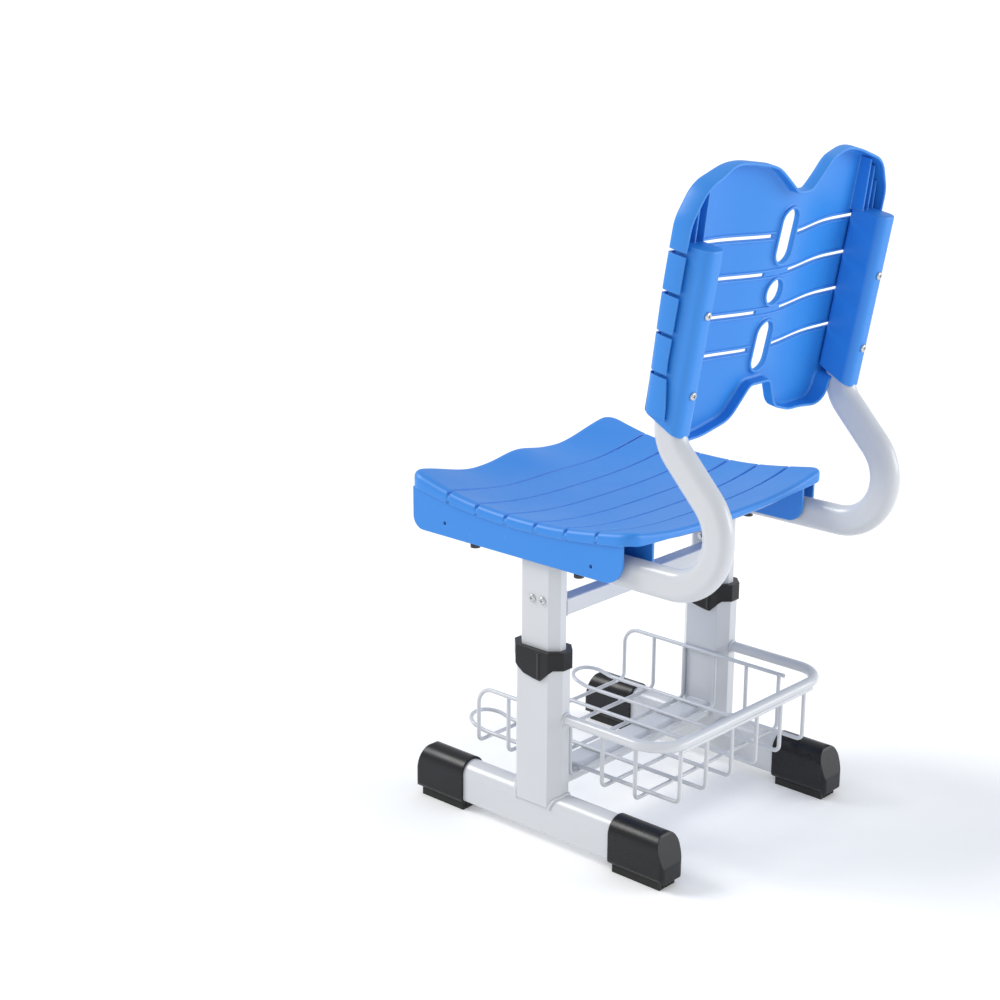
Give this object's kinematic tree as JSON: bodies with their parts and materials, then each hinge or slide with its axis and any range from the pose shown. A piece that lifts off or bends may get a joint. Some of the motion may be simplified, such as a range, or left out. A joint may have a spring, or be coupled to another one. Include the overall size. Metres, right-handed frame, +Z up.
{
  "type": "student desk chair",
  "caption": "School chair with a dished plastic seat, slotted plastic back on bent steel side tubes, sliding two-leg base, and a wire book basket.",
  "frame": {"origin": "bottom centre of the whole chair's box, on the floor", "axes": "+Z up, the sitter faces -Y, +X to the sitter's left"},
  "size_m": [0.375, 0.4564, 0.811],
  "materials": {
    "blue_plastic": "satin",
    "white_steel": "satin",
    "black_plastic": "satin",
    "rubber": "matte",
    "zinc_steel": "satin",
    "black_steel": "satin"
  },
  "bodies": {
    "base": {"left_foot_tube": "white_steel", "left_front_foot_cap": "black_plastic", "left_rear_foot_cap": "black_plastic", "left_front_foot_pad": "rubber", "left_rear_foot_pad": "rubber", "left_outer_upright": "white_steel", "left_collar": "black_plastic", "left_lock_pin": "zinc_steel", "right_foot_tube": "white_steel", "right_front_foot_cap": "black_plastic", "right_rear_foot_cap": "black_plastic", "right_front_foot_pad": "rubber", "right_rear_foot_pad": "rubber", "right_outer_upright": "white_steel", "right_collar": "black_plastic", "right_lock_pin": "zinc_steel", "lower_crossbar": "white_steel", "basket_frame_tube": "white_steel", "basket_front_wire": "white_steel", "basket_cross_wires": "white_steel", "basket_long_wires": "white_steel", "basket_rear_rail": "white_steel"},
    "upper": {"left_inner_upright": "white_steel", "left_upright_glide": "black_plastic", "left_crossbar_tab": "white_steel", "left_side_tube": "white_steel", "left_tube_plug": "black_plastic", "right_inner_upright": "white_steel", "right_upright_glide": "black_plastic", "right_crossbar_tab": "white_steel", "right_side_tube": "white_steel", "right_tube_plug": "black_plastic", "upper_crossbar": "white_steel", "crossbar_screws": "zinc_steel", "crossbar_nuts": "zinc_steel", "seat_shell": "blue_plastic", "seat_bolts": "black_steel", "backrest_shell": "blue_plastic", "backrest_screws": "zinc_steel"}
  },
  "joints": [
    {"name": "height_adjustment", "type": "slide", "parent": "base", "child": "upper", "axis": [0, 0, 1], "range_m": [-0.03, 0.06]}
  ]
}
